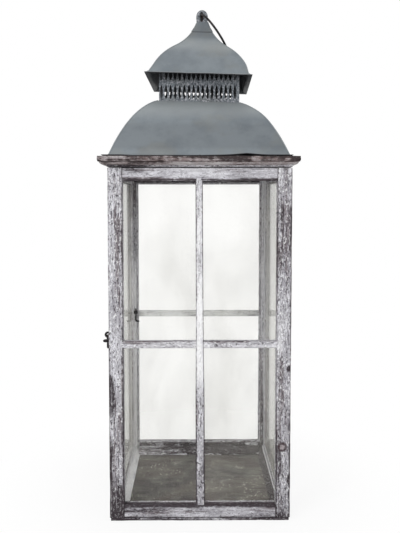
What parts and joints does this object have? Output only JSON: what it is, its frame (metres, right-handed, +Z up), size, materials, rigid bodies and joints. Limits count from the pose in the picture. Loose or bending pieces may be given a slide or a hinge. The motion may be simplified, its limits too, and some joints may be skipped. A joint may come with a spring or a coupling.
{
  "type": "candle lantern",
  "caption": "Tall square candle lantern: glazed wooden case with a hinged four-pane door, cornice, curved zinc roof, pierced vent gallery, capped spire and a swinging carrying ring.",
  "frame": {"origin": "middle of the underside of the base board", "axes": "+Z up; the door faces -Y; +X is to the right of someone who faces the door"},
  "size_m": [0.3926, 0.3926, 1.0559],
  "materials": {
    "limed_wood": "distressed whitewash over brown wood",
    "bare_wood": "weathered, worn paint",
    "zinc": "aged zinc sheet, dull satin",
    "floor_zinc": "scuffed dull zinc sheet",
    "iron": "blackened iron",
    "glass": "clear glass, faintly smudged"
  },
  "bodies": {
    "carcass": {"base_board": "bare_wood", "floor_plate": "floor_zinc", "skirting_strips": "limed_wood", "left_front_stile": "limed_wood", "left_back_stile": "limed_wood", "left_top_rail": "limed_wood", "left_bottom_rail": "limed_wood", "right_front_stile": "limed_wood", "right_back_stile": "limed_wood", "right_top_rail": "limed_wood", "right_bottom_rail": "limed_wood", "back_left_stile": "limed_wood", "back_right_stile": "limed_wood", "back_top_rail": "limed_wood", "back_bottom_rail": "limed_wood", "back_upright_bar": "limed_wood", "back_cross_bars": "limed_wood", "left_glass": "glass", "right_glass": "glass", "back_glass": "glass", "glazing_beads": "limed_wood", "front_header": "limed_wood", "front_sill": "limed_wood", "top_board": "bare_wood", "cornice_front": "bare_wood", "cornice_back": "bare_wood", "cornice_left": "bare_wood", "cornice_right": "bare_wood", "roof_front_panel": "zinc", "roof_back_panel": "zinc", "roof_left_panel": "zinc", "roof_right_panel": "zinc", "gallery_front": "zinc", "gallery_back": "zinc", "gallery_left": "zinc", "gallery_right": "zinc", "gallery_rim": "zinc", "cap_front_panel": "zinc", "cap_back_panel": "zinc", "cap_left_panel": "zinc", "cap_right_panel": "zinc", "spire_sleeve": "zinc", "hanging_eye": "iron", "roof_nails": "iron", "hinge_frame_leaves": "iron", "hinge_pins": "iron", "screw_eyes": "iron"},
    "door": {"door_left_stile": "limed_wood", "door_right_stile": "limed_wood", "door_top_rail": "limed_wood", "door_bottom_rail": "limed_wood", "door_upright_bar": "limed_wood", "door_cross_bars": "limed_wood", "door_glass": "glass", "door_glazing_beads": "limed_wood", "hinge_door_leaves": "iron", "catch_eye": "iron"},
    "latch_hook": {"latch_hook": "iron"},
    "inner_hook": {"inner_hook": "iron"},
    "ring_handle": {"ring_handle": "iron"}
  },
  "joints": [
    {"name": "door_hinge", "type": "hinge", "parent": "carcass", "child": "door", "pos_m": [0.1805, -0.16025, 0.355], "axis": [0, 0, 1], "range_deg": [0, 175]},
    {"name": "latch_hook_swing", "type": "hinge", "parent": "carcass", "child": "latch_hook", "pos_m": [-0.1854, -0.148, 0.3656], "axis": [1, 0, 0], "range_deg": [-40, 150]},
    {"name": "inner_hook_swing", "type": "hinge", "parent": "carcass", "child": "inner_hook", "pos_m": [-0.1573, 0.1546, 0.3616], "axis": [0, -1, 0], "range_deg": [-6, 150]},
    {"name": "ring_swing", "type": "hinge", "parent": "carcass", "child": "ring_handle", "pos_m": [0.00408, 0, 1.04394], "axis": [0, -1, 0], "range_deg": [0, 283.5]}
  ]
}
